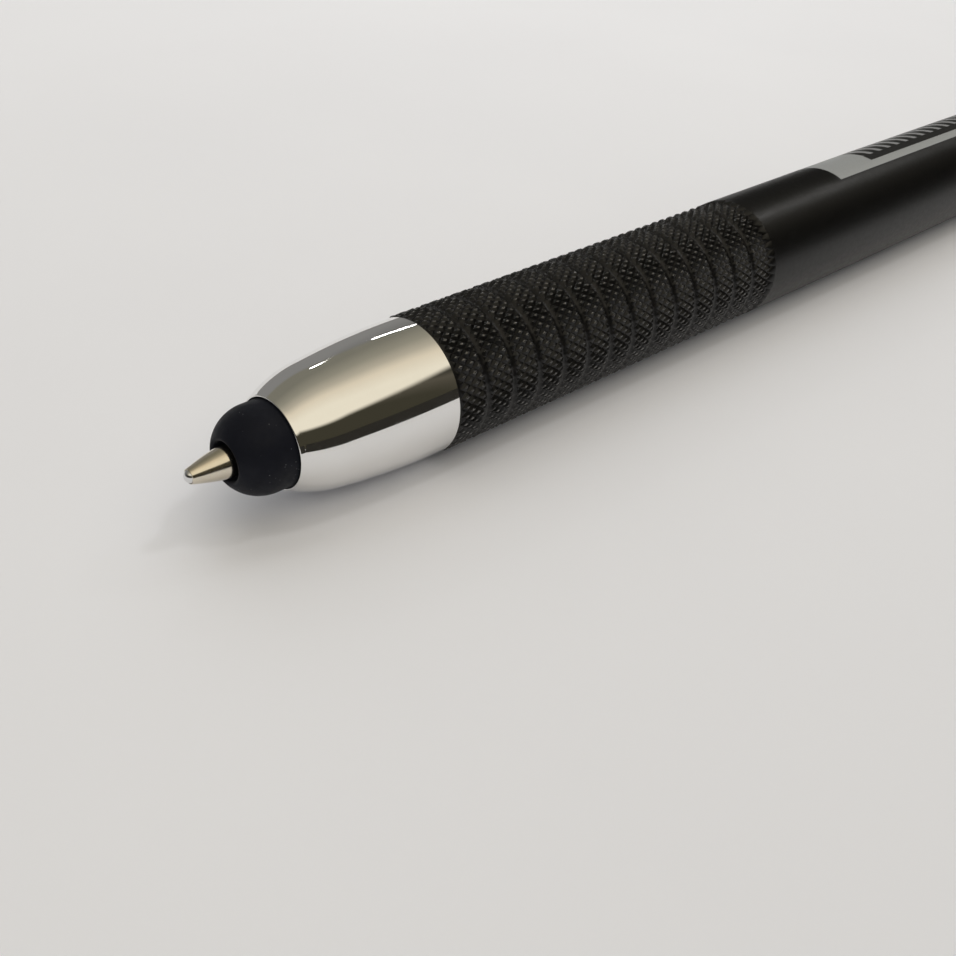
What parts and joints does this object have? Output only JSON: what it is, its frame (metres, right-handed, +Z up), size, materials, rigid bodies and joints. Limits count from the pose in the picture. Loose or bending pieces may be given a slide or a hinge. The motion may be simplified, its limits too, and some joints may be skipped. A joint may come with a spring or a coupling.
{
  "type": "retractable ballpoint pen",
  "caption": "Push-button ballpoint pen with a rubber stylus dome around its point, chromed nose, knurled black grip, smooth barrel and spring clip.",
  "frame": {"origin": "on the table, under the middle of the box of the pen as it lies on its grip and clip", "axes": "+X from the writing point to the push button, +Z up from the table, the clip on the +Y side"},
  "size_m": [0.1375, 0.014, 0.0108],
  "materials": {
    "steel_ball": "polished",
    "point_metal": "polished nickel silver",
    "nozzle_brass": "turned",
    "refill_steel": "satin",
    "ink": "paste",
    "seal_grease": "grease",
    "white_plastic": "moulded",
    "black_plastic": "moulded",
    "spring_steel": "drawn wire",
    "stylus_rubber": "matte",
    "nose_chrome": "mirror plated",
    "bush_brass": "turned",
    "barrel_black": "black satin lacquer",
    "rear_chrome": "mirror plated",
    "clip_chrome": "mirror plated"
  },
  "bodies": {
    "barrel": {"barrel_tube": "barrel_black", "nose_cone": "nose_chrome", "nose_insert": "black_plastic", "stylus_dome": "stylus_rubber", "stylus_core": "black_plastic", "thread_bush": "bush_brass", "cam_guide": "white_plastic", "top_collar": "rear_chrome", "return_spring": "spring_steel"},
    "refill": {"point_cone": "point_metal", "refill_nozzle": "nozzle_brass", "refill_tube": "refill_steel", "refill_ink": "ink", "ink_seal": "seal_grease", "refill_plug": "white_plastic"},
    "ball": {"tip_ball": "steel_ball"},
    "button": {"push_button": "rear_chrome", "thrust_tube": "black_plastic"},
    "rotor": {"rotor_cam": "white_plastic"},
    "clip": {"clip": "clip_chrome"}
  },
  "joints": [
    {"name": "button_slide", "type": "slide", "parent": "barrel", "child": "button", "axis": [1, 0, 0], "range_m": [-0.0012, 0.0055], "stiffness_N_per_m": 200},
    {"name": "refill_slide", "type": "slide", "parent": "barrel", "child": "refill", "axis": [1, 0, 0], "range_m": [-0.0012, 0.0055], "deforming": ["return_spring"]},
    {"name": "rotor_turn", "type": "hinge", "parent": "button", "child": "rotor", "pos_m": [0.03846, -0.00161, 0.0054], "axis": [1, 0, 0], "range_deg": [-10, 46]},
    {"name": "ball_roll", "type": "hinge", "parent": "refill", "child": "ball", "pos_m": [-0.06824, -0.00161, 0.0054], "axis": [0, 1, 0], "continuous": true},
    {"name": "clip_flex", "type": "hinge", "parent": "barrel", "child": "clip", "pos_m": [0.05341, 0.003, 0.00358], "axis": [0, -0.3673, -0.9301], "range_deg": [0, 4], "stiffness_Nm_per_rad": 0.3, "springref_deg": -5.73}
  ],
  "couplings": [
    {"joint": "refill_slide", "follows": "button_slide", "ratio": 1},
    {"joint": "rotor_turn", "follows": "button_slide", "rad_per_m": 142.8}
  ]
}
